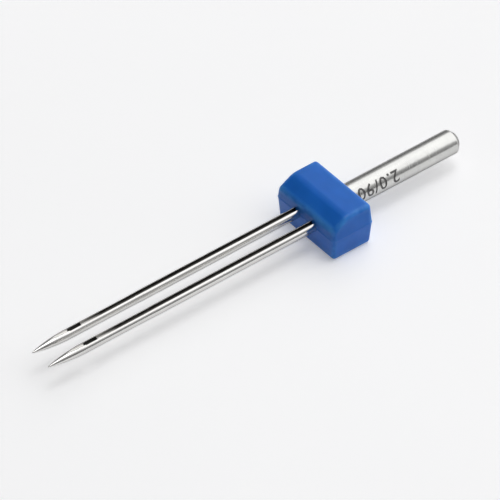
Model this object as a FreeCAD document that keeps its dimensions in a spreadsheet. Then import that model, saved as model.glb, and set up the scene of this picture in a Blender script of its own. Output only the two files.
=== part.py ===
import FreeCAD, Part
import math
import os

import Sketcher

# Twin sewing machine needle: two needles and one shank held by a moulded crossbar.
# Each piece is drawn with the shank's axis along X and the butt towards +X. X is 0 at the crossbar's face
# on the shank's side, Y runs across the two needles, and +Z is the front, with the long grooves.
# The pieces are then set down together as the twin needle rests: flat on the crossbar's back face,
# with the origin on the surface below, midway along its length.

# Driving dimensions, in millimetres and degrees
SIZES = [
    # Shank: round inside the crossbar, and from there to the butt with a flat at the back
    ("shank_diameter", 2.02),
    ("shank_flat_thickness", 1.60),
    ("shank_length", 10.9),
    ("shank_seat", 1.75),
    ("butt_chamfer", 0.38),
    # Crossbar, with its thickness in front of and behind the parting plane, in which the axes lie
    ("bar_length", 4.0),
    ("bar_width", 7.05),
    ("bar_front_thickness", 1.75),
    ("bar_back_thickness", 2.1),
    ("bar_draft", 4.0),
    ("bar_slope_length", 1.35),
    ("bar_slope_drop", 0.85),
    ("bar_slope_blend", 1.2),
    ("bar_edge_radius", 0.32),
    ("seat_web", 0.5),
    # Ends that the crossbar is moulded round, with a holding groove in the middle of each
    ("anchor_width", 0.5),
    ("anchor_depth", 0.12),
    ("seat_chamfer", 0.12),
    # Needles
    ("needle_spacing", 2.0),
    ("needle_length", 25.6),
    ("upper_blade_diameter", 0.90),
    ("lower_blade_diameter", 0.86),
    ("upper_blade_length", 15.0),
    ("blade_taper_length", 1.5),
    ("point_length", 3.5),
    ("tip_radius", 0.05),
    ("eye_distance", 4.1),
    ("eye_length", 1.4),
    ("eye_width", 0.36),
    ("long_groove_width", 0.36),
    ("long_groove_depth", 0.34),
    ("short_groove_width", 0.26),
    ("short_groove_depth", 0.15),
    ("short_groove_length", 2.4),
    ("scarf_gap", 0.15),
    ("scarf_length", 3.4),
    ("scarf_depth", 0.20),
    ("scarf_run_in", 1.3),
    ("scarf_run_out", 0.35),
    # How far a cutting outline stands clear of what it cuts
    ("cut_margin", 0.6),
]

# Lengths, radii and places that follow from the driving dimensions.
# Places on the needle's side of X = 0 are given as distances from it.
WORKED_OUT = [
    ("shank_radius", "sizes.shank_diameter / 2"),
    ("shank_anchor_radius", "worked.shank_radius - sizes.anchor_depth"),
    ("shank_seat_end_radius", "worked.shank_radius - sizes.seat_chamfer"),
    ("shank_seat_chamfer_place", "sizes.shank_seat - sizes.seat_chamfer"),
    ("shank_anchor_near", "(sizes.shank_seat - sizes.anchor_width) / 2"),
    ("shank_anchor_far", "(sizes.shank_seat + sizes.anchor_width) / 2"),
    ("butt_radius", "worked.shank_radius - sizes.butt_chamfer"),
    ("butt_chamfer_place", "sizes.shank_length - sizes.butt_chamfer"),
    ("flat_level", "sizes.shank_flat_thickness - worked.shank_radius"),
    ("flat_cut_level", "worked.shank_radius + sizes.cut_margin"),
    ("flat_cut_place", "sizes.shank_length + sizes.cut_margin"),
    ("half_bar_width", "sizes.bar_width / 2"),
    ("half_spacing", "sizes.needle_spacing / 2"),
    ("needle_inner", "sizes.shank_seat + sizes.seat_web"),
    ("needle_seat_chamfer_place", "worked.needle_inner + sizes.seat_chamfer"),
    ("needle_anchor_near", "(worked.needle_inner + sizes.bar_length - sizes.anchor_width) / 2"),
    ("needle_anchor_far", "(worked.needle_inner + sizes.bar_length + sizes.anchor_width) / 2"),
    ("upper_radius", "sizes.upper_blade_diameter / 2"),
    ("lower_radius", "sizes.lower_blade_diameter / 2"),
    ("needle_anchor_radius", "worked.upper_radius - sizes.anchor_depth"),
    ("needle_seat_end_radius", "worked.upper_radius - sizes.seat_chamfer"),
    ("upper_blade_end", "sizes.bar_length + sizes.upper_blade_length"),
    ("lower_blade_start", "worked.upper_blade_end + sizes.blade_taper_length"),
    ("tip_place", "sizes.bar_length + sizes.needle_length"),
    # Point: a long arc that runs on into a round nose, whose centre is on the needle's axis
    ("point_start", "worked.tip_place - sizes.point_length"),
    ("nose_centre", "worked.tip_place - sizes.tip_radius"),
    ("point_run", "worked.nose_centre - worked.point_start"),
    ("point_fall", "worked.lower_radius - sizes.tip_radius"),
    ("point_squares", "worked.point_run ^ 2 + worked.lower_radius ^ 2 - sizes.tip_radius ^ 2"),
    ("point_arc_radius", "worked.point_squares / (2 * worked.point_fall)"),
    ("nose_sine", "worked.point_run / (worked.point_arc_radius - sizes.tip_radius)"),
    ("nose_place", "worked.nose_centre + sizes.tip_radius * worked.nose_sine"),
    ("nose_level", "sizes.tip_radius * sqrt(1 - worked.nose_sine ^ 2)"),
    ("eye_centre", "worked.tip_place - sizes.eye_distance"),
    ("eye_half_width", "sizes.eye_width / 2"),
    ("eye_upper_arc", "worked.eye_centre - sizes.eye_length / 2 + worked.eye_half_width"),
    ("eye_lower_arc", "worked.eye_centre + sizes.eye_length / 2 - worked.eye_half_width"),
    ("groove_half_width", "sizes.long_groove_width / 2"),
    ("groove_arc_level", "worked.upper_radius - sizes.long_groove_depth + worked.groove_half_width"),
    ("groove_cut_level", "worked.upper_radius + sizes.cut_margin"),
    ("groove_run", "worked.eye_centre - worked.needle_inner"),
    ("short_half_width", "sizes.short_groove_width / 2"),
    ("short_arc_level", "worked.lower_radius - sizes.short_groove_depth + worked.short_half_width"),
    ("scarf_end", "worked.eye_centre - sizes.eye_length / 2 - sizes.scarf_gap"),
    ("scarf_floor_end", "worked.scarf_end - sizes.scarf_run_out"),
    ("scarf_start", "worked.scarf_end - sizes.scarf_length"),
    ("scarf_floor_start", "worked.scarf_start + sizes.scarf_run_in"),
    ("scarf_level", "worked.lower_radius - sizes.scarf_depth"),
    # Edges of the crossbar's front face, on the blades' side and where the slope begins
    ("draft_inset", "sizes.bar_front_thickness * tan(sizes.bar_draft * 1 deg)"),
    ("front_face_end", "sizes.bar_length - worked.draft_inset"),
    ("slope_start", "worked.front_face_end - sizes.bar_slope_length"),
    # Length from the origin of the drawing to the middle between butt and tips
    ("middle_place", "(worked.tip_place - sizes.shank_length) / 2"),
]

LENGTH_TOLERANCE = 1e-4

doc = FreeCAD.newDocument("twin_needle")


def fill_sheet():
    sheet = doc.addObject("Spreadsheet::Sheet", "sizes")
    for row, (name, value) in enumerate(SIZES, start=1):
        sheet.set(f"A{row}", name.replace("_", " "))
        sheet.set(f"B{row}", str(value))
        sheet.setAlias(f"B{row}", name)
    doc.recompute()
    return sheet


def work_out():
    worked = doc.addObject("App::VarSet", "worked")
    for name, formula in WORKED_OUT:
        worked.addProperty("App::PropertyFloat", name)
        worked.setExpression(name, formula)
        doc.recompute()
    return worked


sizes = fill_sheet()
worked = work_out()
WORKED_NAMES = [name for name, formula in WORKED_OUT]


# A coordinate is written as a size's name, with a minus sign on the negative side, or as 0.
def value_of(coordinate):
    name = coordinate.lstrip("-")
    if name == "0":
        return 0.0
    sign = -1.0 if coordinate.startswith("-") else 1.0
    if name in WORKED_NAMES:
        return sign * getattr(worked, name)
    return sign * float(sizes.get(name))


def formula_of(coordinate):
    name = coordinate.lstrip("-")
    sign = "-" if coordinate.startswith("-") else ""
    source = "worked" if name in WORKED_NAMES else "sizes"
    return f"{sign}{source}.{name}"


# The line or arc from one corner to the next. An arc leaves its corner in the direction heading.
def segment(start, end, curved, heading):
    chord = end.sub(start)
    along = FreeCAD.Vector(chord).normalize()
    if not curved:
        return Part.LineSegment(start, end), along
    aside = heading.sub(FreeCAD.Vector(along).multiply(heading.dot(along)))
    turn = heading.getAngle(along)
    rise = chord.Length / 2 * math.tan(turn / 2)
    middle = start.add(end).multiply(0.5).add(aside.normalize().multiply(rise))
    leaving = FreeCAD.Vector(along).multiply(2 * heading.dot(along)).sub(heading)
    return Part.Arc(start, middle, end), leaving


# A closed outline on an origin plane of the piece. A corner is (across, up), or (across, up, "arc") where
# an arc that runs on smoothly from the segment before it arrives there. The first segment is straight.
def draw(body, name, plane_role, corners):
    sketch = body.newObject("Sketcher::SketchObject", name)
    plane = [part for part in body.Origin.OriginFeatures if part.Role == plane_role][0]
    sketch.AttachmentSupport = [(plane, "")]
    sketch.MapMode = "FlatFace"
    points = [FreeCAD.Vector(value_of(corner[0]), value_of(corner[1]), 0) for corner in corners]
    pieces = []
    heading = None
    for number, start in enumerate(points):
        following = (number + 1) % len(points)
        curved = len(corners[following]) == 3
        shape, heading = segment(start, points[following], curved, heading)
        index = sketch.addGeometry(shape, False)
        begins_at_start = sketch.getPoint(index, 1).distanceToPoint(start) < LENGTH_TOLERANCE
        first, last = (1, 2) if begins_at_start else (2, 1)
        pieces.append((index, first, last, curved))
    for number, (index, first, last, curved) in enumerate(pieces):
        before = pieces[number - 1]
        joint = "Tangent" if curved else "Coincident"
        sketch.addConstraint(Sketcher.Constraint(joint, before[0], before[2], index, first))
        across, up = corners[number][:2]
        for kind, axis, coordinate in (("DistanceX", -2, across), ("DistanceY", -1, up)):
            if coordinate == "0":
                sketch.addConstraint(Sketcher.Constraint("PointOnObject", index, first, axis))
                continue
            size = value_of(coordinate)
            constraint = sketch.addConstraint(Sketcher.Constraint(kind, -1, 1, index, first, size))
            sketch.setExpression(f"Constraints[{constraint}]", formula_of(coordinate))
    doc.recompute()
    return sketch


def turn(body, name, sketch):
    turned = body.newObject("PartDesign::Revolution", name)
    turned.Profile = sketch
    turned.ReferenceAxis = (sketch, ["H_Axis"])
    turned.Angle = 360
    doc.recompute()
    return turned


# Cuts an outline out of the piece, on both sides of its plane or for one run towards the points.
def cut(body, name, sketch, run=None):
    before = body.Shape.Volume
    pocket = body.newObject("PartDesign::Pocket", name)
    pocket.Profile = sketch
    if run is None:
        pocket.Type = "ThroughAll"
        pocket.SideType = "Symmetric"
    else:
        pocket.Type = "Length"
        pocket.setExpression("Length", formula_of(run))
    doc.recompute()
    if body.Shape.Volume > before - LENGTH_TOLERANCE:
        raise RuntimeError(f"{body.Label}: {name} cuts nothing")
    return pocket


# A groove's outline across the blade: straight walls and a round bottom.
# The side is "" for the front and "-" for the back.
def groove_section(body, name, side, half_width, arc_level, place):
    walls = [
        (f"-{half_width}", f"{side}groove_cut_level"),
        (f"-{half_width}", f"{side}{arc_level}"),
        (half_width, f"{side}{arc_level}", "arc"),
        (half_width, f"{side}groove_cut_level"),
    ]
    sketch = draw(body, name, "YZ_Plane", walls)
    sketch.setExpression("AttachmentOffset.Base.z", formula_of(f"-{place}"))
    doc.recompute()
    return sketch


def make_shank():
    body = doc.addObject("PartDesign::Body", "shank")
    outline = [
        ("-shank_seat", "0"),
        ("-shank_seat", "shank_seat_end_radius"),
        ("-shank_seat_chamfer_place", "shank_radius"),
        ("-shank_anchor_far", "shank_radius"),
        ("-shank_anchor_far", "shank_anchor_radius"),
        ("-shank_anchor_near", "shank_anchor_radius"),
        ("-shank_anchor_near", "shank_radius"),
        ("butt_chamfer_place", "shank_radius"),
        ("shank_length", "butt_radius"),
        ("shank_length", "0"),
    ]
    turn(body, "shank_turned", draw(body, "shank_outline", "XZ_Plane", outline))
    below_flat = [
        ("0", "-flat_level"),
        ("flat_cut_place", "-flat_level"),
        ("flat_cut_place", "-flat_cut_level"),
        ("0", "-flat_cut_level"),
    ]
    cut(body, "shank_flat", draw(body, "shank_flat_outline", "XZ_Plane", below_flat))
    return body


def make_needle(name):
    body = doc.addObject("PartDesign::Body", name)
    outline = [
        ("-needle_inner", "0"),
        ("-needle_inner", "needle_seat_end_radius"),
        ("-needle_seat_chamfer_place", "upper_radius"),
        ("-needle_anchor_near", "upper_radius"),
        ("-needle_anchor_near", "needle_anchor_radius"),
        ("-needle_anchor_far", "needle_anchor_radius"),
        ("-needle_anchor_far", "upper_radius"),
        ("-upper_blade_end", "upper_radius"),
        ("-lower_blade_start", "lower_radius"),
        ("-point_start", "lower_radius"),
        ("-nose_place", "nose_level", "arc"),
        ("-tip_place", "0", "arc"),
    ]
    turn(body, f"{name}_turned", draw(body, f"{name}_outline", "XZ_Plane", outline))

    long_section = groove_section(
        body, f"{name}_long_groove_section", "", "groove_half_width", "groove_arc_level", "needle_inner"
    )
    cut(body, f"{name}_long_groove", long_section, "groove_run")

    eye = [
        ("-eye_upper_arc", "eye_half_width", "arc"),
        ("-eye_lower_arc", "eye_half_width"),
        ("-eye_lower_arc", "-eye_half_width", "arc"),
        ("-eye_upper_arc", "-eye_half_width"),
    ]
    cut(body, f"{name}_eye", draw(body, f"{name}_eye_outline", "XY_Plane", eye))

    for side, words in (("", "front"), ("-", "back")):
        section = groove_section(
            body, f"{name}_{words}_groove_section", side, "short_half_width", "short_arc_level", "eye_centre"
        )
        cut(body, f"{name}_{words}_short_groove", section, "short_groove_length")

    scarf = [
        ("-scarf_start", "-lower_radius"),
        ("-scarf_floor_start", "-scarf_level"),
        ("-scarf_floor_end", "-scarf_level"),
        ("-scarf_end", "-lower_radius"),
        ("-scarf_end", "-groove_cut_level"),
        ("-scarf_start", "-groove_cut_level"),
    ]
    cut(body, f"{name}_scarf", draw(body, f"{name}_scarf_outline", "XZ_Plane", scarf))
    return body


# Edges of a shape whose middle point fits a test.
def edges_where(shape, fits):
    names = []
    for number, edge in enumerate(shape.Edges, start=1):
        middle = edge.valueAt((edge.FirstParameter + edge.LastParameter) / 2)
        if fits(middle):
            names.append(f"Edge{number}")
    return names


# The edge across the bar's front face at a place along it.
def front_edge_at(shape, place):
    return edges_where(
        shape,
        lambda middle: abs(middle.z - float(sizes.get("bar_front_thickness"))) < LENGTH_TOLERANCE
        and abs(middle.x + place) < LENGTH_TOLERANCE,
    )


# The moulded bar before the metal ends are let into it. Its sides slope away from the parting plane at Z = 0.
def make_bar():
    body = doc.addObject("PartDesign::Body", "bar")
    plan = [
        ("0", "-half_bar_width"),
        ("-bar_length", "-half_bar_width"),
        ("-bar_length", "half_bar_width"),
        ("0", "half_bar_width"),
    ]
    block = body.newObject("PartDesign::Pad", "bar_block")
    block.Profile = draw(body, "bar_plan", "XY_Plane", plan)
    block.SideType = "Two sides"
    block.setExpression("Length", "sizes.bar_front_thickness")
    block.setExpression("Length2", "sizes.bar_back_thickness")
    block.setExpression("TaperAngle", "-sizes.bar_draft")
    block.setExpression("TaperAngle2", "-sizes.bar_draft")
    doc.recompute()

    slope = body.newObject("PartDesign::Chamfer", "bar_slope")
    front_blade_edge = front_edge_at(block.Shape, worked.front_face_end)
    slope.Base = (block, front_blade_edge)
    slope.ChamferType = "Two distances"
    slope.setExpression("Size", "sizes.bar_slope_drop")
    slope.setExpression("Size2", "sizes.bar_slope_length")
    doc.recompute()

    blend = body.newObject("PartDesign::Fillet", "bar_slope_blend")
    upper_slope_edge = front_edge_at(slope.Shape, worked.slope_start)
    blend.Base = (slope, upper_slope_edge)
    blend.setExpression("Radius", "sizes.bar_slope_blend")
    doc.recompute()

    rounding = body.newObject("PartDesign::Fillet", "bar_rounding")
    sharp = edges_where(blend.Shape, lambda middle: abs(middle.z) > LENGTH_TOLERANCE)
    rounding.Base = (blend, sharp)
    rounding.setExpression("Radius", "sizes.bar_edge_radius")
    doc.recompute()
    return body


# Sets a piece down with the rest, moved sideways to its own place across the crossbar.
def lay(piece, across):
    piece.setExpression("Placement.Base.x", "worked.middle_place")
    piece.setExpression("Placement.Base.y", across)
    piece.setExpression("Placement.Base.z", "sizes.bar_back_thickness")


def let_in(name, base, tool):
    result = doc.addObject("Part::Cut", name)
    result.Base = base
    result.Tool = tool
    doc.recompute()
    return result


shank = make_shank()
left_needle = make_needle("left_needle")
right_needle = make_needle("right_needle")
bar = make_bar()

lay(shank, "0")
lay(bar, "0")
lay(left_needle, "worked.half_spacing")
lay(right_needle, "-worked.half_spacing")
doc.recompute()

# The crossbar is moulded round the three metal ends, so it is the bar less exactly their shapes.
shank_socket = let_in("bar_with_shank_socket", bar, shank)
left_socket = let_in("bar_with_left_socket", shank_socket, left_needle)
crossbar = let_in("crossbar", left_socket, right_needle)

for item in doc.Objects:
    if "Invalid" in item.State or "Error" in item.State:
        raise RuntimeError(f"{item.Name} failed: {item.State}")
pieces = [shank, crossbar, left_needle, right_needle]
for piece in pieces:
    if piece.Shape.isNull() or not piece.Shape.isValid() or len(piece.Shape.Solids) != 1:
        raise RuntimeError(f"{piece.Label} isn't one sound solid")

os.makedirs("parts", exist_ok=True)
for piece in pieces:
    piece.Shape.exportStep(f"parts/{piece.Label}.step")
    box = piece.Shape.BoundBox
    print(f"{piece.Label}: {box.XLength:.2f} x {box.YLength:.2f} x {box.ZLength:.2f} mm")
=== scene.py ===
import math

import bmesh
import bpy
from mathutils import Matrix, Vector


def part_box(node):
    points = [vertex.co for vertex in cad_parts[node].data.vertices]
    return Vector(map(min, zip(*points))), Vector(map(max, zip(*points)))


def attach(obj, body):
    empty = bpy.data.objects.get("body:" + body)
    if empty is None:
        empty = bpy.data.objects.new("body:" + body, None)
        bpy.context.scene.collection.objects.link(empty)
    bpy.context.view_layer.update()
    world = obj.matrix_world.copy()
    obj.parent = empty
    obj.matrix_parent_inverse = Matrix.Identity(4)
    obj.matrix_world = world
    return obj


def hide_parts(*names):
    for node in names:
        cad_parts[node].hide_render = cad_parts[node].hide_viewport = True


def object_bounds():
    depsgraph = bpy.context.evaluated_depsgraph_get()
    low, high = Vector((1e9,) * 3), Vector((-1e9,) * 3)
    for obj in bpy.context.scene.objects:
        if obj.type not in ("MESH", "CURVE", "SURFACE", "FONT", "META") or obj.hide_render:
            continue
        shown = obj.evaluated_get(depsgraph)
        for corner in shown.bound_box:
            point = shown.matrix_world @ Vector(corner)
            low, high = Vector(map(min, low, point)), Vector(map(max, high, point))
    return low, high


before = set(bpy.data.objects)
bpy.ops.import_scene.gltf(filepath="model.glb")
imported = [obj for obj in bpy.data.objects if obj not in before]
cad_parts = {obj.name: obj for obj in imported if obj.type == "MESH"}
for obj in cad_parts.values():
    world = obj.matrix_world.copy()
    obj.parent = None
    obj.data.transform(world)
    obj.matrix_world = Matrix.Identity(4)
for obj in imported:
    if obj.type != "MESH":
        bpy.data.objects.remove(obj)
cad_low, cad_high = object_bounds()

# Shapes are worked out in millimetres and scaled to metres once they are whole.
MM = 0.001
MERGE = 2e-4
SHARP_ANGLE = math.radians(32)

# Sizes that the frame's boxes give
shank_low, shank_high = (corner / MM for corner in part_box("shank"))
bar_low, bar_high = (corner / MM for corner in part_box("crossbar"))
needle_low, needle_high = (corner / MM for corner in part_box("left_needle"))
SHANK_RADIUS = shank_high.y
BUTT = shank_high.x
SHANK_INNER = shank_low.x
BAR_SHANK_FACE = bar_high.x
BAR_BLADE_FACE = bar_low.x
BAR_HALF_WIDTH = bar_high.y
NEEDLE_TIP = needle_low.x
NEEDLE_INNER = needle_high.x
NEEDLE_SIDE = (needle_low.y + needle_high.y) / 2
UPPER_RADIUS = (needle_high.y - needle_low.y) / 2

# The shank's and the needles' axes lie in the plane where the crossbar's mould parted
BAR_BACK_THICKNESS = 2.1
BAR_FRONT_THICKNESS = bar_high.z - bar_low.z - BAR_BACK_THICKNESS
AXIS_LEVEL = bar_low.z + BAR_BACK_THICKNESS

# Shank
FLAT_THICKNESS = 1.60
FLAT_LEVEL = FLAT_THICKNESS - SHANK_RADIUS
BUTT_CHAMFER = 0.38
CHAMFER_ROUNDING = 0.07

# Ends of shank and needles inside the crossbar
ANCHOR_WIDTH = 0.5
ANCHOR_DEPTH = 0.12
ANCHOR_SLANT = 0.01
SEAT_CHAMFER = 0.12

# Crossbar
BAR_DRAFT = math.radians(4.0)
SLOPE_LENGTH = 1.35
SLOPE_DROP = 0.85
SLOPE_BLEND_RADIUS = 1.2
BAR_EDGE_RADIUS = 0.32
BAR_EDGE_ANGLE = math.radians(10)
PARTING_RIDGE = 0.02
# The crossbar's paler edges, partly rubbed wear and partly a painted highlight: where they begin
# and how wide they fade, in millimetres
EDGE_WEAR_AND_HIGHLIGHT_START = 0.08
EDGE_WEAR_AND_HIGHLIGHT_WIDTH = 0.42

# Size stamp: the needles' spacing and their size number, read with the butt to the left
STAMP_TEXT = "2.0/90"
STAMP_HEIGHT = 1.04
STAMP_GAP = 0.6
STAMP_DEPTH = 0.03
STAMP_WEIGHT = 0.018
STAMP_SPACING = 1.1
STAMP_ANGLE = math.radians(-65)

# Height of a digit as a share of the font's size
DIGIT_SHARE = 0.7

# Needles, with places as distances from the tip
LOWER_RADIUS = 0.43
UPPER_BLADE_LENGTH = 15.0
TAPER_LENGTH = 1.5
POINT_LENGTH = 3.5
TIP_RADIUS = 0.05
EYE_PLACE = 4.1
EYE_HALF_LENGTH = 0.7
EYE_HALF_WIDTH = 0.18
LONG_HALF_WIDTH = 0.18
LONG_DEPTH = 0.34
SHORT_HALF_WIDTH = 0.13
SHORT_DEPTH = 0.15
SHORT_REACH = 2.4
SHORT_RUN_OUT = 1.0
SCARF_GAP = 0.15
SCARF_LENGTH = 3.4
SCARF_DEPTH = 0.20
SCARF_RUN_OUT = 0.35
SCARF_RUN_IN = 1.3
EDGE_ROUNDING = 0.03

# Where the eye's half width is more than this, the grooves beside it get the eye's near-black
# steel, painted shade
EYE_SHADE_WIDTH = 0.13

# Places and levels that follow from these
EYE_NEAR = EYE_PLACE - EYE_HALF_LENGTH
EYE_FAR = EYE_PLACE + EYE_HALF_LENGTH
LONG_FLOOR = UPPER_RADIUS - LONG_DEPTH
SHORT_FLOOR = LOWER_RADIUS - SHORT_DEPTH
SHORT_END = EYE_PLACE - SHORT_REACH
SCARF_NEAR = EYE_FAR + SCARF_GAP
SCARF_FAR = SCARF_NEAR + SCARF_LENGTH
BLADE_LENGTH = BAR_BLADE_FACE - NEEDLE_TIP
TAPER_END = BLADE_LENGTH - UPPER_BLADE_LENGTH
TAPER_START = TAPER_END - TAPER_LENGTH

# Stations in the round of a needle's nose, in tip radii
NOSE_SHARES = (0.0, 0.04, 0.15, 0.32, 0.55, 0.8)

# Points along each stretch of a needle's half section, and down the eye's wall
FLOOR_STEPS = 6
WALL_STEPS = 2
ROUNDING_STEPS = 3
ARC_STEPS = 30
SCARF_STEPS = 6
EYE_WALL_STEPS = 6

# Points round the shank's arc, across its flat, along it and round an edge of its chamfer
SHANK_ARC_STEPS = 72
SHANK_FLAT_STEPS = 20
SHANK_LENGTH_STEPS = 12
CHAMFER_STEPS = 6

# Rows of points on the crossbar's faces and round its edges, and bands across the stamp
GRID_LENGTH = 16
GRID_WIDTH = 28
GRID_THICKNESS = 12
EDGE_STEPS = 6
STAMP_LEVELS = 14

# Places of a needle's groove and eye materials among its materials; both carry painted shade
GROOVE_SHADE_SLOT = 1
EYE_SHADE_SLOT = 2

# Place of the stamp's material among the shank's finishes
STAMP_FINISH = 1


def smooth(value):
    value = min(max(value, 0.0), 1.0)
    return value * value * (3 - 2 * value)


def steps(start, end, count):
    return [start + (end - start) * number / count for number in range(count + 1)]


# Places that lie closer together towards both ends of a stretch
def eased_steps(start, end, count):
    shares = [(1 - math.cos(math.pi * number / count)) / 2 for number in range(count + 1)]
    return [start + (end - start) * share for share in shares]


# Height of a circle above its centre, at a distance to the side
def circle(radius, side):
    return math.sqrt(max(radius * radius - side * side, 0.0))


# Weights of the points before, at and after a rounded corner, at a share of the way round it
def bend_weights(share):
    return (1 - share) ** 2, 2 * share * (1 - share), share**2


# Joins two rows of corners by a band of faces
def bridge(shape, near, far):
    band = []
    for number in range(len(near) - 1):
        corners = (near[number], near[number + 1], far[number + 1], far[number])
        band.append(shape.faces.new(corners))
    return band


def split(shape, point, normal):
    everything = shape.verts[:] + shape.edges[:] + shape.faces[:]
    bmesh.ops.bisect_plane(shape, geom=everything, plane_co=point, plane_no=normal)


def add_object(name, shape):
    mesh = bpy.data.meshes.new(name)
    shape.to_mesh(mesh)
    shape.free()
    piece = bpy.data.objects.new(name, mesh)
    bpy.context.scene.collection.objects.link(piece)
    return piece


def new_piece(name, shape):
    bmesh.ops.remove_doubles(shape, verts=shape.verts, dist=MERGE)
    bmesh.ops.dissolve_degenerate(shape, edges=shape.edges, dist=MERGE / 2)
    loose = [corner for corner in shape.verts if not corner.link_faces]
    bmesh.ops.delete(shape, geom=loose, context="VERTS")
    bmesh.ops.recalc_face_normals(shape, faces=shape.faces)
    for face in shape.faces:
        face.smooth = True
    for edge in shape.edges:
        edge.smooth = len(edge.link_faces) == 2 and edge.calc_face_angle() < SHARP_ANGLE
    return add_object(name, shape)


# Needles


# Radius of a needle at a place: round nose, long arc, lower blade, taper, upper blade
def needle_radius(place):
    run = POINT_LENGTH - TIP_RADIUS
    fall = LOWER_RADIUS - TIP_RADIUS
    arc_radius = (run * run + LOWER_RADIUS**2 - TIP_RADIUS**2) / (2 * fall)
    nose_end = TIP_RADIUS * (1 - run / (arc_radius - TIP_RADIUS))
    if place <= nose_end:
        return circle(TIP_RADIUS, TIP_RADIUS - place)
    if place < POINT_LENGTH:
        return LOWER_RADIUS - arc_radius + circle(arc_radius, POINT_LENGTH - place)
    taper = smooth((place - TAPER_START) / TAPER_LENGTH)
    return LOWER_RADIUS + (UPPER_RADIUS - LOWER_RADIUS) * taper


def eye_half_width(place):
    from_centre = abs(place - EYE_PLACE)
    if from_centre >= EYE_HALF_LENGTH:
        return 0.0
    past_straight = max(from_centre - (EYE_HALF_LENGTH - EYE_HALF_WIDTH), 0.0)
    return circle(EYE_HALF_WIDTH, past_straight)


# Half width and floor level of the groove at the front or the back
def groove(place, front):
    if front and place > EYE_PLACE:
        return LONG_HALF_WIDTH, LONG_FLOOR
    if place > EYE_PLACE or place < SHORT_END:
        return 0.0, UPPER_RADIUS
    opening = smooth((place - SHORT_END) / SHORT_RUN_OUT)
    depth = (needle_radius(place) - SHORT_FLOOR) * opening
    return SHORT_HALF_WIDTH * math.sqrt(opening), needle_radius(place) - depth


# Level of the scarf's flat below the axis
def scarf_level(place):
    run_out = smooth((place - SCARF_NEAR) / SCARF_RUN_OUT)
    run_in = smooth((SCARF_FAR - place) / SCARF_RUN_IN)
    return needle_radius(place) - SCARF_DEPTH * min(run_out, run_in)


# Points of a groove's half, from its middle to where its rounded edge meets the blade's round.
# Each is (distance to the side, height above the axis). The eye takes away what lies inside it.
def groove_half(radius, half_width, floor, eye):
    edge = max(half_width, eye)
    top = circle(radius, edge)
    rounding = min(EDGE_ROUNDING, edge / 3, (top - min(floor, top)) / 2 + eye / 4)
    wall_top = top - rounding
    arc_level = min(floor + half_width, wall_top)
    depth = min(half_width, arc_level - min(floor, arc_level))
    points = []
    for angle in steps(0.0, math.pi / 2, FLOOR_STEPS):
        side = half_width * math.sin(angle)
        level = arc_level - depth * math.cos(angle)
        if side < eye:
            side = eye
            level = wall_top
            if eye <= half_width:
                level = arc_level - depth * circle(1.0, eye / half_width)
        points.append((side, level))
    wall_foot = points[-1][1]
    for level in steps(wall_foot, wall_top, WALL_STEPS)[1:]:
        points.append((edge, level))
    meeting = edge + rounding
    for share in steps(0.0, 1.0, ROUNDING_STEPS)[1:]:
        keep, mix, reach = bend_weights(share)
        side = keep * edge + mix * edge + reach * meeting
        level = keep * wall_top + mix * top + reach * circle(radius, meeting)
        points.append((side, level))
    return points


# Half section of a needle from the middle of its front to the middle of its back
def half_section(place, radius):
    eye = eye_half_width(place)
    front = groove_half(radius, *groove(place, True), eye)
    back_width, back_floor = groove(place, False)
    back = groove_half(radius, back_width, back_floor, eye)
    start = math.atan2(*front[-1])
    end = math.pi - math.atan2(*back[-1])
    last_side, last_level = back[-1]
    flat = min(scarf_level(place), radius) if SCARF_NEAR < place < SCARF_FAR else radius
    if flat < radius:
        end = math.acos(-flat / radius)
        back = [(0.0, flat)] * len(back)
        last_side, last_level = 0.0, flat
    arc = []
    for angle in steps(start, end, ARC_STEPS):
        arc.append((radius * math.sin(angle), radius * math.cos(angle)))
    arc_side, arc_level = arc[-1]
    scarf = []
    for share in steps(0.0, 1.0, SCARF_STEPS)[1:]:
        side = arc_side + (last_side - arc_side) * share
        level = arc_level + (-last_level - arc_level) * share
        scarf.append((side, level))
    inner = [(side, -level) for side, level in reversed(back)]
    return front + arc[1:] + scarf + inner[1:], eye


# Places of the sections along the blade
def blade_places():
    eye_end = 2 * EYE_HALF_WIDTH
    places = [TIP_RADIUS * share for share in NOSE_SHARES]
    start = 2 * TIP_RADIUS
    places.append(start)
    for end, count, spacing in (
        (SHORT_END, 16, steps),
        (SHORT_END + SHORT_RUN_OUT, 16, steps),
        (EYE_NEAR, 8, steps),
        (EYE_NEAR + eye_end, 20, eased_steps),
        (EYE_PLACE, 4, steps),
    ):
        places += spacing(start, end, count)[1:]
        start = end
    # The long groove begins at the eye's middle, in a second section close to the first
    start = EYE_PLACE + MERGE * 2
    places.append(start)
    for end, count, spacing in (
        (EYE_FAR - eye_end, 4, steps),
        (EYE_FAR, 20, eased_steps),
        (SCARF_NEAR, 3, steps),
        (SCARF_NEAR + SCARF_RUN_OUT, 14, steps),
        (SCARF_FAR - SCARF_RUN_IN, 4, steps),
        (SCARF_FAR, 22, steps),
        (TAPER_START, 2, steps),
        (TAPER_END, 8, steps),
        (BLADE_LENGTH, 30, steps),
    ):
        places += spacing(start, end, count)[1:]
        start = end
    return places


# Stations at the sides of the holding groove inside the crossbar, as (place, radius)
def anchor_stations(middle, radius):
    ring = radius - ANCHOR_DEPTH
    near = middle - ANCHOR_WIDTH / 2
    far = middle + ANCHOR_WIDTH / 2
    return [(near, radius), (near + ANCHOR_SLANT, ring), (far - ANCHOR_SLANT, ring), (far, radius)]


# Stations along a needle from the tip, as (place, radius)
def needle_stations():
    seat_end = NEEDLE_INNER - NEEDLE_TIP
    stations = [(place, needle_radius(place)) for place in blade_places()]
    stations += anchor_stations((BLADE_LENGTH + seat_end) / 2, UPPER_RADIUS)
    stations.append((seat_end - SEAT_CHAMFER, UPPER_RADIUS))
    stations.append((seat_end, UPPER_RADIUS - SEAT_CHAMFER))
    return stations


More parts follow.
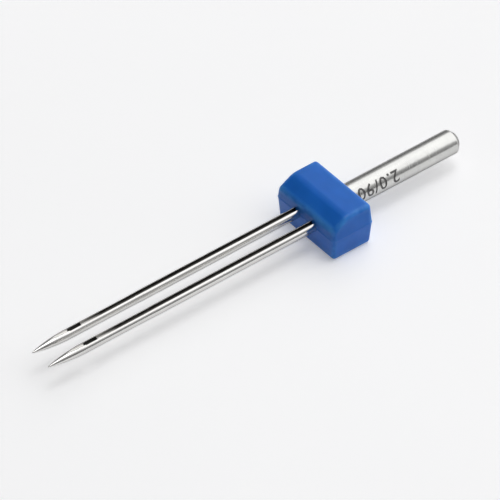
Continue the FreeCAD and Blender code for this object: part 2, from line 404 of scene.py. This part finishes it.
# One needle, alike on both sides of its middle plane
def needle_shape(across):
    shape = bmesh.new()
    columns = []
    for place, radius in needle_stations():
        points, eye = half_section(place, radius)
        top_side, top_level = points[0]
        low_side, low_level = points[-1]
        wall = []
        for share in steps(0.0, 1.0, EYE_WALL_STEPS):
            side = top_side + (low_side - top_side) * share
            wall.append((side, top_level + (low_level - top_level) * share))
        column = {"eye": eye}
        for hand in (1, -1):
            for key, row in ((hand, points), ((hand, "wall"), wall)):
                column[key] = []
                for side, level in row:
                    corner = (NEEDLE_TIP + place, across + hand * side, AXIS_LEVEL + level)
                    column[key].append(shape.verts.new(corner))
        columns.append(column)
    groove_faces = FLOOR_STEPS + WALL_STEPS
    for near, far in zip(columns, columns[1:]):
        in_eye = max(near["eye"], far["eye"]) > 0
        beside_eye = min(near["eye"], far["eye"]) > EYE_SHADE_WIDTH
        for hand in (1, -1):
            skin = bridge(shape, near[hand], far[hand])
            for face in skin[:groove_faces] + skin[-groove_faces:]:
                face.material_index = EYE_SHADE_SLOT if beside_eye else GROOVE_SHADE_SLOT
            if in_eye:
                for face in bridge(shape, near[hand, "wall"], far[hand, "wall"]):
                    face.material_index = EYE_SHADE_SLOT
    inner = columns[-1]
    shape.faces.new(inner[1] + inner[-1][::-1])
    return shape


# Shank


# Closed section of the shank: round, or with the flat below, with as many points either way
def shank_section(radius, flat):
    level = min(FLAT_LEVEL, radius)
    end = math.acos(-level / (radius if flat else SHANK_RADIUS))
    angles = steps(-end, end, SHANK_ARC_STEPS)
    if not flat:
        angles += steps(end, 2 * math.pi - end, SHANK_FLAT_STEPS)[1:-1]
    section = [(radius * math.sin(angle), radius * math.cos(angle)) for angle in angles]
    if flat:
        half = radius * math.sin(end)
        section += [(side, -level) for side in steps(half, -half, SHANK_FLAT_STEPS)[1:-1]]
    return section


# Stations along the shank from its inner end to the butt, as (place, radius, flat or not)
def shank_stations():
    inside = [
        (SHANK_INNER, SHANK_RADIUS - SEAT_CHAMFER),
        (SHANK_INNER + SEAT_CHAMFER, SHANK_RADIUS),
    ]
    inside += anchor_stations((SHANK_INNER + BAR_SHANK_FACE) / 2, SHANK_RADIUS)
    inside.append((BAR_SHANK_FACE, SHANK_RADIUS))
    chamfer_start = BUTT - BUTT_CHAMFER
    outside = []
    for place in steps(BAR_SHANK_FACE, chamfer_start, SHANK_LENGTH_STEPS)[:-1]:
        outside.append((place, SHANK_RADIUS))
    # The chamfer's two edges are rounded: each by a bend of 45 degrees
    butt_radius = SHANK_RADIUS - BUTT_CHAMFER
    for corner_place, corner_radius, first, second in (
        (chamfer_start, SHANK_RADIUS, (1, 0), (1, -1)),
        (BUTT, butt_radius, (1, -1), (0, -1)),
    ):
        for share in steps(0.0, 1.0, CHAMFER_STEPS):
            keep, _, reach = bend_weights(share)
            back = keep * CHAMFER_ROUNDING
            ahead = reach * CHAMFER_ROUNDING
            place = corner_place - back * first[0] + ahead * second[0]
            radius = corner_radius - back * first[1] + ahead * second[1]
            outside.append((place, radius))
    stations = [(place, radius, False) for place, radius in inside]
    return stations + [(place, radius, True) for place, radius in outside]


def shank_shape():
    shape = bmesh.new()
    rings = []
    for place, radius, flat in shank_stations():
        ring = []
        for side, level in shank_section(radius, flat):
            ring.append(shape.verts.new((place, side, AXIS_LEVEL + level)))
        rings.append(ring)
    for near, far in zip(rings, rings[1:]):
        bridge(shape, near + near[:1], far + far[:1])
    shape.faces.new(rings[0])
    shape.faces.new(rings[-1])
    return shape


# Cutter for the stamp: flat characters with a thickness, cut into bands and bent round the shank
def stamp_cutter():
    curve = bpy.data.curves.new("stamp", "FONT")
    curve.body = STAMP_TEXT
    curve.size = STAMP_HEIGHT / DIGIT_SHARE
    curve.offset = STAMP_WEIGHT
    curve.space_character = STAMP_SPACING
    curve.extrude = 1.0
    curve.resolution_u = 3
    letters = bpy.data.objects.new("stamp_letters", curve)
    bpy.context.scene.collection.objects.link(letters)
    depsgraph = bpy.context.evaluated_depsgraph_get()
    flat = bpy.data.meshes.new_from_object(letters.evaluated_get(depsgraph))
    bpy.data.objects.remove(letters)
    shape = bmesh.new()
    shape.from_mesh(flat)
    bmesh.ops.remove_doubles(shape, verts=shape.verts, dist=MERGE)
    bmesh.ops.triangulate(shape, faces=shape.faces)
    for level in steps(-STAMP_HEIGHT / 4, STAMP_HEIGHT * 5 / 4, STAMP_LEVELS):
        split(shape, (0, level, 0), (0, 1, 0))
    start = BAR_SHANK_FACE + STAMP_GAP + max(corner.co.x for corner in shape.verts)
    for corner in shape.verts:
        place, across, height = corner.co
        angle = STAMP_ANGLE - (across - STAMP_HEIGHT / 2) / SHANK_RADIUS
        distance = SHANK_RADIUS + (STAMP_DEPTH if height > 0 else -STAMP_DEPTH)
        side = distance * math.sin(angle)
        corner.co = (start - place, side, AXIS_LEVEL + distance * math.cos(angle))
    for face in shape.faces:
        face.material_index = STAMP_FINISH
    shape.normal_update()
    bmesh.ops.recalc_face_normals(shape, faces=shape.faces)
    return add_object("stamp_cutter", shape)


# Crossbar

FRONT_INSET = BAR_FRONT_THICKNESS * math.tan(BAR_DRAFT)
BACK_INSET = BAR_BACK_THICKNESS * math.tan(BAR_DRAFT)
SLOPE_TOP = BAR_BLADE_FACE + FRONT_INSET + SLOPE_LENGTH
SLOPE_FOOT_LEVEL = BAR_FRONT_THICKNESS - SLOPE_DROP * math.cos(BAR_DRAFT)
SLOPE_FOOT = BAR_BLADE_FACE + SLOPE_FOOT_LEVEL * math.tan(BAR_DRAFT)

# Side view from the shank's side over the front to the blades' side, as (place, level from axis)
BAR_OUTLINE = [
    (BAR_SHANK_FACE - BACK_INSET, -BAR_BACK_THICKNESS),
    (BAR_SHANK_FACE, 0.0),
    (BAR_SHANK_FACE - FRONT_INSET, BAR_FRONT_THICKNESS),
    (SLOPE_TOP, BAR_FRONT_THICKNESS),
    (SLOPE_FOOT, SLOPE_FOOT_LEVEL),
    (BAR_BLADE_FACE, 0.0),
    (BAR_BLADE_FACE + BACK_INSET, -BAR_BACK_THICKNESS),
]


def bevel(shape, edges, offset):
    bmesh.ops.bevel(
        shape, geom=edges, offset=offset, segments=EDGE_STEPS, profile=0.5, affect="EDGES"
    )


def in_parting(edge):
    return all(abs(corner.co.z - AXIS_LEVEL) < MERGE for corner in edge.verts)


def bar_shape():
    shape = bmesh.new()
    ends = {}
    for hand in (1, -1):
        ends[hand] = []
        for place, level in BAR_OUTLINE:
            side = BAR_HALF_WIDTH - abs(level) * math.tan(BAR_DRAFT)
            ends[hand].append(shape.verts.new((place, hand * side, AXIS_LEVEL + level)))
        # An end has one face in front of the parting plane and one behind it
        back_near, near, *front, far, back_far = ends[hand]
        shape.faces.new([near, *front, far])
        shape.faces.new([back_near, near, far, back_far])
    bridge(shape, ends[1] + ends[1][:1], ends[-1] + ends[-1][:1])
    bmesh.ops.recalc_face_normals(shape, faces=shape.faces)

    slope_angle = math.atan2(SLOPE_DROP, SLOPE_LENGTH)
    slope_edge = {ends[1][3], ends[-1][3]}
    blend = [edge for edge in shape.edges if set(edge.verts) == slope_edge]
    bevel(shape, blend, SLOPE_BLEND_RADIUS * math.tan(slope_angle / 2))
    sharp = []
    for edge in shape.edges:
        if not in_parting(edge) and edge.calc_face_angle() > BAR_EDGE_ANGLE:
            sharp.append(edge)
    bevel(shape, sharp, BAR_EDGE_RADIUS)

    # A fine grid on the flat faces, and a ridge where the mould's halves met
    for place in steps(BAR_BLADE_FACE, BAR_SHANK_FACE, GRID_LENGTH)[1:-1]:
        split(shape, (place, 0, 0), (1, 0, 0))
    for side in steps(-BAR_HALF_WIDTH, BAR_HALF_WIDTH, GRID_WIDTH)[1:-1]:
        split(shape, (0, side, 0), (0, 1, 0))
    for level in steps(bar_low.z, bar_high.z, GRID_THICKNESS)[1:-1]:
        split(shape, (0, 0, level), (0, 0, 1))
    for offset in (-PARTING_RIDGE, PARTING_RIDGE):
        split(shape, (0, 0, AXIS_LEVEL + offset), (0, 0, 1))
    centre = (BAR_SHANK_FACE + BAR_BLADE_FACE) / 2
    half_length = (BAR_SHANK_FACE - BAR_BLADE_FACE) / 2
    for corner in shape.verts:
        if abs(corner.co.z - AXIS_LEVEL) > PARTING_RIDGE / 2:
            corner.co.x = centre + (corner.co.x - centre) * (1 - PARTING_RIDGE / half_length)
            corner.co.y *= 1 - PARTING_RIDGE / BAR_HALF_WIDTH
    return shape


# How near a point of the crossbar is to one of its edges: 1 at the edge, 0 well inside a face
def edge_share(point):
    level = point.z - AXIS_LEVEL
    draft = abs(level) * math.tan(BAR_DRAFT)
    slope = Vector((SLOPE_TOP - SLOPE_FOOT, BAR_FRONT_THICKNESS - SLOPE_FOOT_LEVEL)).normalized()
    below_slope = (point.x - SLOPE_FOOT) * slope.y - (level - SLOPE_FOOT_LEVEL) * slope.x
    depths = sorted(
        (
            BAR_SHANK_FACE - draft - point.x,
            point.x - BAR_BLADE_FACE - draft,
            BAR_HALF_WIDTH - draft - abs(point.y),
            min(BAR_FRONT_THICKNESS - level, below_slope),
            BAR_BACK_THICKNESS + level,
        )
    )
    return 1 - smooth((depths[1] - EDGE_WEAR_AND_HIGHLIGHT_START) / EDGE_WEAR_AND_HIGHLIGHT_WIDTH)


# Stores the nearness to an edge for the crossbar's paler edges: partly rubbed wear, partly a
# painted highlight
def mark_edges(piece):
    layer = piece.data.attributes.new("edge_wear_and_highlight", "FLOAT", "POINT")
    for vertex in piece.data.vertices:
        layer.data[vertex.index].value = edge_share(vertex.co)


# Takes other pieces' shapes out of a piece
def cut_away(piece, cutters):
    for cutter in cutters:
        cut = piece.modifiers.new("cut", "BOOLEAN")
        cut.operation = "DIFFERENCE"
        cut.solver = "EXACT"
        cut.object = cutter
    depsgraph = bpy.context.evaluated_depsgraph_get()
    mesh = bpy.data.meshes.new_from_object(piece.evaluated_get(depsgraph))
    shape = bmesh.new()
    shape.from_mesh(mesh)
    bmesh.ops.remove_doubles(shape, verts=shape.verts, dist=MERGE)
    bmesh.ops.dissolve_degenerate(shape, edges=shape.edges, dist=MERGE)
    many_sided = [face for face in shape.faces if len(face.verts) > 4]
    bmesh.ops.triangulate(shape, faces=many_sided)
    shape.to_mesh(mesh)
    shape.free()
    mesh.set_sharp_from_angle(angle=SHARP_ANGLE)
    piece.modifiers.clear()
    piece.data = mesh


# Materials

# Colours, mostly as a darker and a paler one that a material's noise mixes
SHANK_COLOURS = ((0.61, 0.61, 0.60), (0.68, 0.68, 0.66))
NEEDLE_COLOURS = ((0.68, 0.67, 0.66), (0.76, 0.75, 0.73))
STAMP_COLOURS = ((0.09, 0.09, 0.09), (0.26, 0.255, 0.25))
# Near-black groove steel: painted shade in the grooves along the upper blade
GROOVE_SHADE_COLOURS = ((0.04, 0.038, 0.036), (0.10, 0.095, 0.09))
GROOVE_POLISH = (0.62, 0.61, 0.59, 1)
# Near-black eye steel: painted shade inside the eye
EYE_SHADE_COLOURS = ((0.03, 0.029, 0.03), (0.08, 0.075, 0.07))
PLASTIC_COLOURS = ((0.005, 0.136, 0.575), (0.009, 0.166, 0.68))
# Paler blue of the crossbar's edges: partly rubbed wear, partly a painted highlight
PLASTIC_EDGE_WEAR_AND_HIGHLIGHT = (0.09, 0.38, 0.86, 1)
FLOOR_COLOURS = ((0.87, 0.87, 0.88), (0.89, 0.89, 0.90))
STEEL_EDGE_TINT = (0.3, 0.3, 0.3, 1)

# Where the grooves are plain polished steel and where they carry painted shade, along the frame's
# X in millimetres
GROOVE_BRIGHT_END = -16.2
GROOVE_SHADE_START = -13.5

# How much brighter than its own light the camera and reflections see the floor
FLOOR_LIFT = 0.27


class Nodes:
    """The node tree of one material, with its Principled shader."""

    def __init__(self, name, metallic=0.0):
        self.material = bpy.data.materials.new(name)
        self.material.use_nodes = True
        self.tree = self.material.node_tree
        self.shader = self.tree.nodes["Principled BSDF"]
        self.place = self.add("ShaderNodeTexCoord").outputs["Object"]
        self.set("Metallic", metallic)

    def add(self, kind, **settings):
        node = self.tree.nodes.new(kind)
        for name, value in settings.items():
            setattr(node, name, value)
        return node

    def link(self, source, target):
        self.tree.links.new(source, target)

    def set(self, socket, value):
        self.shader.inputs[socket].default_value = value

    def feed(self, source, socket):
        self.link(source, self.shader.inputs[socket])

    # Noise with its own scale along each axis, in features per millimetre
    def noise(self, across, detail):
        mapping = self.add("ShaderNodeMapping")
        mapping.inputs["Scale"].default_value = [value / MM for value in across]
        self.link(self.place, mapping.inputs["Vector"])
        noise = self.add("ShaderNodeTexNoise")
        noise.inputs["Scale"].default_value = 1.0
        noise.inputs["Detail"].default_value = detail
        noise.inputs["Roughness"].default_value = 0.55
        self.link(mapping.outputs["Vector"], noise.inputs["Vector"])
        return noise.outputs["Fac"]

    def spread(self, source, low, high, start=0.3, end=0.7):
        spread = self.add("ShaderNodeMapRange")
        spread.inputs["From Min"].default_value = start
        spread.inputs["From Max"].default_value = end
        spread.inputs["To Min"].default_value = low
        spread.inputs["To Max"].default_value = high
        self.link(source, spread.inputs["Value"])
        return spread.outputs["Result"]

    # Mixes two colours by a value, from the first at the start to the second at the end
    def colours(self, source, pair, end=0.7, start=0.3):
        ramp = self.add("ShaderNodeValToRGB")
        for element, place, colour in zip(ramp.color_ramp.elements, (start, end), pair):
            element.position = place
            element.color = (*colour, 1)
        self.link(source, ramp.inputs["Fac"])
        return ramp.outputs["Color"]

    def blend(self, share, first, second):
        mix = self.add("ShaderNodeMix", data_type="RGBA")
        self.link(share, mix.inputs["Factor"])
        self.link(first, mix.inputs["A"])
        mix.inputs["B"].default_value = second
        return mix.outputs["Result"]

    def combine(self, operation, first, second):
        node = self.add("ShaderNodeMath", operation=operation)
        self.link(first, node.inputs[0])
        self.link(second, node.inputs[1])
        return node.outputs["Value"]

    def bump(self, source, height, before=None):
        bump = self.add("ShaderNodeBump")
        bump.inputs["Strength"].default_value = 1.0
        bump.inputs["Distance"].default_value = height * MM
        self.link(source, bump.inputs["Height"])
        if before is not None:
            self.link(before, bump.inputs["Normal"])
        return bump.outputs["Normal"]


def shank_steel():
    nodes = Nodes("shank_steel", metallic=1.0)
    nodes.set("Specular Tint", STEEL_EDGE_TINT)
    lines = nodes.noise((11, 0.6, 0.6), detail=4)
    patches = nodes.noise((0.5, 0.9, 0.9), detail=3)
    nodes.feed(nodes.colours(patches, SHANK_COLOURS), "Base Color")
    nodes.feed(nodes.spread(lines, 0.19, 0.29), "Roughness")
    nodes.feed(nodes.bump(lines, 0.0003), "Normal")
    return nodes.material


def stamped_steel():
    nodes = Nodes("stamped_steel", metallic=1.0)
    grime = nodes.noise((3, 3, 3), detail=4)
    nodes.feed(nodes.colours(grime, STAMP_COLOURS, end=0.75), "Base Color")
    nodes.feed(nodes.spread(grime, 0.45, 0.65), "Roughness")
    nodes.feed(nodes.bump(grime, 0.002), "Normal")
    return nodes.material


def needle_steel():
    nodes = Nodes("needle_steel", metallic=1.0)
    nodes.set("Specular Tint", STEEL_EDGE_TINT)
    lines = nodes.noise((0.25, 14, 14), detail=3)
    patches = nodes.noise((0.4, 1.5, 1.5), detail=3)
    nodes.feed(nodes.colours(patches, NEEDLE_COLOURS), "Base Color")
    nodes.feed(nodes.spread(patches, 0.10, 0.18), "Roughness")
    nodes.feed(nodes.bump(lines, 0.0006), "Normal")
    return nodes.material


# Painted shade: near-black steel along the upper blade stands in for the shade in the groove;
# plain polished steel towards the eye, where the thread runs
def groove_steel_with_shade():
    nodes = Nodes("groove_steel_with_shade", metallic=1.0)
    scale = nodes.noise((1.2, 10, 10), detail=4)
    painted_groove_shade = nodes.colours(scale, GROOVE_SHADE_COLOURS, end=0.75)
    axes = nodes.add("ShaderNodeSeparateXYZ")
    nodes.link(nodes.place, axes.inputs["Vector"])
    along = axes.outputs["X"]
    near_eye = nodes.spread(along, 1.0, 0.0, GROOVE_BRIGHT_END * MM, GROOVE_SHADE_START * MM)
    nodes.feed(nodes.blend(near_eye, painted_groove_shade, GROOVE_POLISH), "Base Color")
    nodes.feed(nodes.spread(scale, 0.26, 0.40), "Roughness")
    nodes.feed(nodes.bump(scale, 0.001), "Normal")
    return nodes.material


# Painted shade: the eye's walls and the grooves beside it are near-black steel, standing in for
# the shade inside the eye
def eye_shade_steel():
    nodes = Nodes("eye_shade_steel", metallic=1.0)
    scale = nodes.noise((8, 8, 8), detail=4)
    nodes.feed(nodes.colours(scale, EYE_SHADE_COLOURS, end=0.75), "Base Color")
    nodes.feed(nodes.spread(scale, 0.35, 0.5), "Roughness")
    nodes.feed(nodes.bump(scale, 0.001), "Normal")
    return nodes.material


def bar_plastic():
    nodes = Nodes("bar_plastic")
    waves = nodes.noise((0.5, 0.35, 0.5), detail=2)
    grain = nodes.noise((14, 14, 14), detail=3)
    body = nodes.colours(waves, PLASTIC_COLOURS)
    # Rounded edges are paler: partly rubbed wear where the plastic is thin, partly a painted
    # highlight along them
    edges = nodes.add("ShaderNodeAttribute", attribute_name="edge_wear_and_highlight")
    patchy_wear_and_highlight = nodes.spread(nodes.noise((1.0, 0.6, 1.0), detail=4), 0.1, 0.75, 0.35, 0.65)
    share = nodes.combine("MULTIPLY", edges.outputs["Fac"], patchy_wear_and_highlight)
    nodes.feed(nodes.blend(share, body, PLASTIC_EDGE_WEAR_AND_HIGHLIGHT), "Base Color")
    nodes.set("Specular IOR Level", 0.32)
    nodes.set("Subsurface Weight", 0.25)
    nodes.set("Subsurface Radius", (0.15, 0.4, 1.0))
    nodes.set("Subsurface Scale", 0.4 * MM)
    nodes.feed(nodes.spread(grain, 0.30, 0.42), "Roughness")
    swell = nodes.bump(waves, 0.03)
    nodes.feed(nodes.bump(grain, 0.0015, swell), "Normal")
    return nodes.material


def floor_paint():
    nodes = Nodes("floor")
    patches = nodes.noise((0.02, 0.02, 0.02), detail=2)
    nodes.feed(nodes.colours(patches, FLOOR_COLOURS), "Base Color")
    nodes.set("Roughness", 0.7)
    nodes.set("Specular IOR Level", 0.2)
    path = nodes.add("ShaderNodeLightPath")
    seen = path.outputs["Is Camera Ray"]
    for ray in ("Is Glossy Ray", "Is Transmission Ray"):
        seen = nodes.combine("MAXIMUM", seen, path.outputs[ray])
    lift = nodes.add("ShaderNodeMath", operation="MULTIPLY")
    lift.inputs[1].default_value = FLOOR_LIFT
    nodes.link(seen, lift.inputs[0])
    nodes.set("Emission Color", (1, 1, 1, 1))
    nodes.feed(lift.outputs["Value"], "Emission Strength")
    return nodes.material


def dress(piece, node, materials):
    for material in materials:
        piece.data.materials.append(material)
    piece.data.transform(Matrix.Scale(MM, 4))
    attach(piece, "root")
    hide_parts(node)


# Studio, in metres

CAMERA_AZIMUTH = math.radians(-38.5)
CAMERA_ELEVATION = math.radians(42.0)
CAMERA_DISTANCE = 0.68
SENSOR_WIDTH = 36.0
FOCAL_LENGTH = 640.0
FLOOR_HALF = 1.5
KEY_DIRECTION = (0.74, -0.04, 0.67)

# The sky's brightness away from the key direction and near it
SKY_DARK = 0.11
SKY_BRIGHT = 0.54

# Cosines of the angles from the key direction between which the sky gets brighter
SKY_DARK_END = 0.33
SKY_BRIGHT_START = 0.78

# Soft boxes, as (name, direction from the object, half angle in degrees, brightness)
SOFT_BOX_DISTANCE = 0.6
SOFT_BOXES = (
    ("key", KEY_DIRECTION, 41, 0.88),
    ("top", (0.12, 0.0, 0.99), 12, 3.4),
    ("fill", (-0.85, 0.1, 0.35), 25, 0.25),
)


def make_floor():
    shape = bmesh.new()
    bmesh.ops.create_grid(shape, x_segments=1, y_segments=1, size=FLOOR_HALF)
    floor = add_object("floor", shape)
    floor.data.materials.append(floor_paint())


def make_camera():
    data = bpy.data.cameras.new("camera")
    data.sensor_width = SENSOR_WIDTH
    data.lens = FOCAL_LENGTH
    data.clip_start = 0.01
    data.clip_end = 10.0
    camera = bpy.data.objects.new("camera", data)
    bpy.context.scene.collection.objects.link(camera)
    level_share = math.cos(CAMERA_ELEVATION)
    back = Vector(
        (
            math.sin(CAMERA_AZIMUTH) * level_share,
            -math.cos(CAMERA_AZIMUTH) * level_share,
            math.sin(CAMERA_ELEVATION),
        )
    )
    camera.location = (cad_low + cad_high) / 2 + back * CAMERA_DISTANCE
    camera.rotation_mode = "QUATERNION"
    camera.rotation_quaternion = (-back).to_track_quat("-Z", "Y")
    bpy.context.scene.camera = camera


def make_soft_box(name, direction, half_angle, brightness):
    data = bpy.data.lights.new(name, "AREA")
    data.shape = "DISK"
    radius = SOFT_BOX_DISTANCE * math.tan(math.radians(half_angle))
    data.size = 2 * radius
    data.energy = brightness * math.pi**2 * radius**2
    lamp = bpy.data.objects.new(name, data)
    bpy.context.scene.collection.objects.link(lamp)
    towards = Vector(direction).normalized()
    lamp.location = towards * SOFT_BOX_DISTANCE
    lamp.rotation_mode = "QUATERNION"
    lamp.rotation_quaternion = towards.to_track_quat("Z", "Y")


# Soft light that is brightest above the shank's end, where the key direction points
def make_world():
    world = bpy.data.worlds.new("world")
    bpy.context.scene.world = world
    world.use_nodes = True
    tree = world.node_tree
    background = tree.nodes["Background"]
    place = tree.nodes.new("ShaderNodeTexCoord")
    towards_key = tree.nodes.new("ShaderNodeVectorMath")
    towards_key.operation = "DOT_PRODUCT"
    towards_key.inputs[1].default_value = Vector(KEY_DIRECTION).normalized()
    ramp = tree.nodes.new("ShaderNodeMapRange")
    ramp.interpolation_type = "SMOOTHSTEP"
    ramp.inputs["From Min"].default_value = SKY_DARK_END
    ramp.inputs["From Max"].default_value = SKY_BRIGHT_START
    ramp.inputs["To Min"].default_value = SKY_DARK
    ramp.inputs["To Max"].default_value = SKY_BRIGHT
    tree.links.new(place.outputs["Generated"], towards_key.inputs[0])
    tree.links.new(towards_key.outputs["Value"], ramp.inputs["Value"])
    tree.links.new(ramp.outputs["Result"], background.inputs["Strength"])
    background.inputs["Color"].default_value = (1.0, 1.0, 1.0, 1)


needle_finish = [needle_steel(), groove_steel_with_shade(), eye_shade_steel()]
shank = new_piece("shank_detailed", shank_shape())
left_needle = new_piece("left_needle_detailed", needle_shape(NEEDLE_SIDE))
right_needle = new_piece("right_needle_detailed", needle_shape(-NEEDLE_SIDE))
bar = new_piece("crossbar_detailed", bar_shape())
cut_away(bar, [shank, left_needle, right_needle])
for face in bar.data.polygons:
    face.material_index = 0
mark_edges(bar)
cutter = stamp_cutter()
cut_away(shank, [cutter])
bpy.data.objects.remove(cutter)

dress(shank, "shank", [shank_steel(), stamped_steel()])
dress(left_needle, "left_needle", needle_finish)
dress(right_needle, "right_needle", needle_finish)
dress(bar, "crossbar", [bar_plastic()])

make_floor()
make_camera()
make_world()
for soft_box in SOFT_BOXES:
    make_soft_box(*soft_box)
bpy.context.scene.view_settings.view_transform = "Standard"
